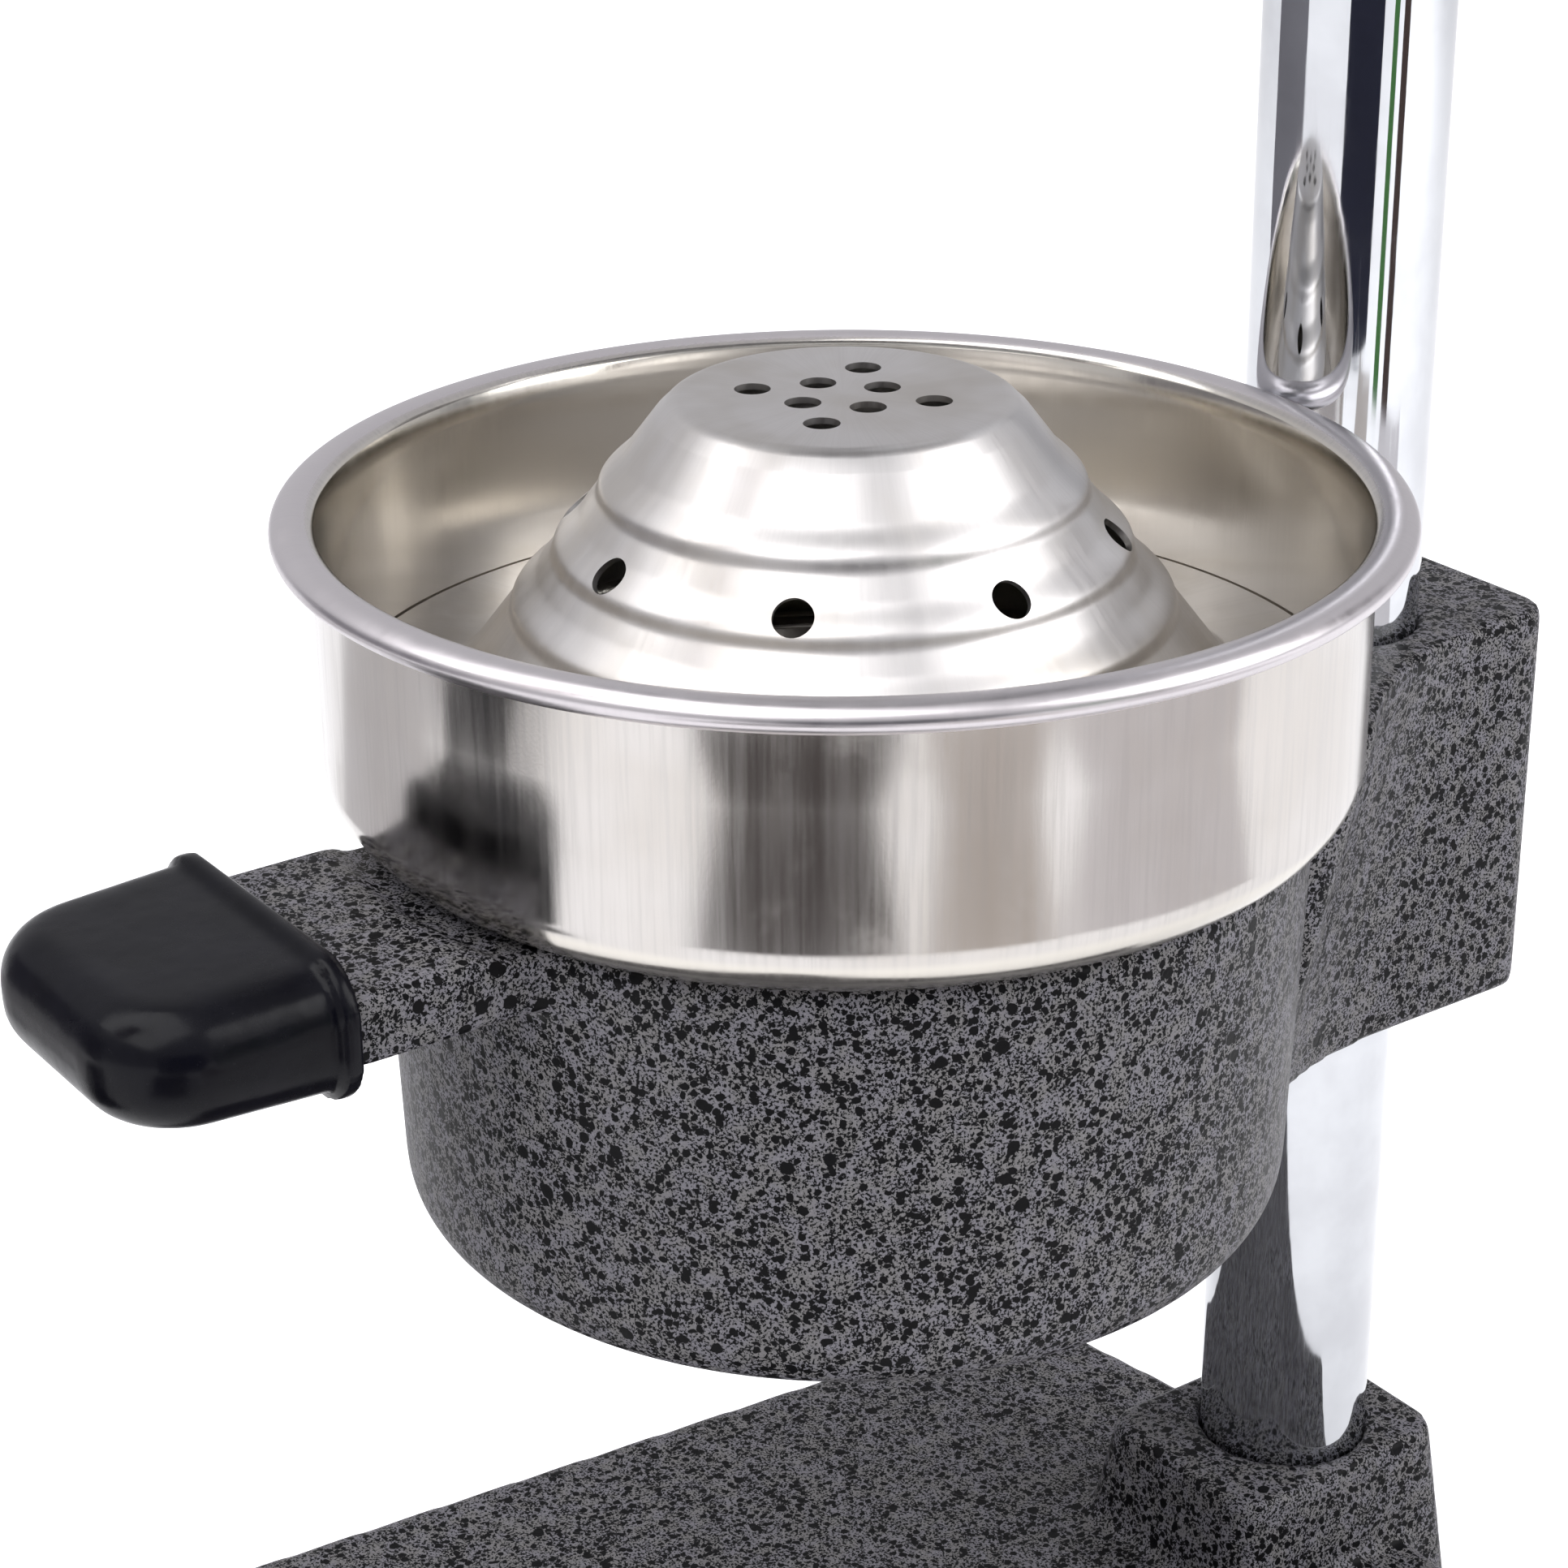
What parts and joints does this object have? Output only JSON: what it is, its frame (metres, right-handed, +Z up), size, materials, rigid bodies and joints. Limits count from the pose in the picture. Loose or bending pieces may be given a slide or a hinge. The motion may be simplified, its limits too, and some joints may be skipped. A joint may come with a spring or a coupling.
{
  "type": "manual citrus press",
  "caption": "Hand lever citrus press: hammertone cast base and cup holder on a chromed column, steel bowl with perforated strainer cone, geared press bell.",
  "frame": {"origin": "on the bowl's axis, at the level the rubber feet stand on", "axes": "+Z up along the bowl, ram and column; -Y towards the user, where the grip points; +X to the user's right, the lever's side"},
  "size_m": [0.164, 0.2793, 0.5195],
  "materials": {
    "hammertone": "hammertone paint, grey with fine black speckle",
    "rubber": "satin black",
    "zinc": "zinc plated",
    "chrome": "polished chrome",
    "satin_steel": "satin stainless, spun",
    "cast_aluminium": "polished casting",
    "black_steel": "black oxide",
    "bronze": "sintered bronze",
    "nylon": "natural nylon",
    "machined_steel": "machined, oiled"
  },
  "bodies": {
    "frame": {"base_plate": "hammertone", "cup_holder": "hammertone", "head_casting": "hammertone", "head_cover": "hammertone", "feet": "rubber", "handle_grip": "rubber", "foot_screws": "zinc", "base_washer": "zinc", "base_bolt": "zinc", "column": "chrome", "cup_set_screws": "black_steel", "cover_screws": "black_steel", "head_set_screws": "black_steel", "brake_screw": "black_steel", "ram_bush_lower": "bronze", "ram_bush_upper": "bronze", "shaft_bush_right": "bronze", "shaft_bush_left": "bronze", "brake_pad": "nylon"},
    "ram_slide": {"ram": "chrome", "ram_cap": "rubber", "press_bell": "cast_aluminium", "bell_collar": "rubber", "bell_screw": "zinc"},
    "lever": {"pinion": "machined_steel", "pinion_key": "machined_steel", "pinion_shaft": "machined_steel", "shaft_ring": "black_steel", "lever_hub": "hammertone", "hub_screw": "black_steel", "lever_rod": "chrome", "lever_grip": "rubber"},
    "bowl": {"bowl": "satin_steel"},
    "strainer": {"strainer": "satin_steel"}
  },
  "joints": [
    {"name": "ram_press", "type": "slide", "parent": "frame", "child": "ram_slide", "axis": [0, 0, -1], "range_m": [0, 0.082]},
    {"name": "lever_turn", "type": "hinge", "parent": "frame", "child": "lever", "pos_m": [0, 0.0325, 0.369], "axis": [1, 0, 0], "range_deg": [0, 182]},
    {"name": "bowl_lift", "type": "slide", "parent": "frame", "child": "bowl", "axis": [0, 0, 1], "range_m": [0, 0.004]},
    {"name": "strainer_turn", "type": "hinge", "parent": "bowl", "child": "strainer", "pos_m": [0, 0, 0.175], "axis": [0, 0, 1], "continuous": true}
  ],
  "couplings": [
    {"joint": "lever_turn", "follows": "ram_press", "rad_per_m": 38.462}
  ]
}
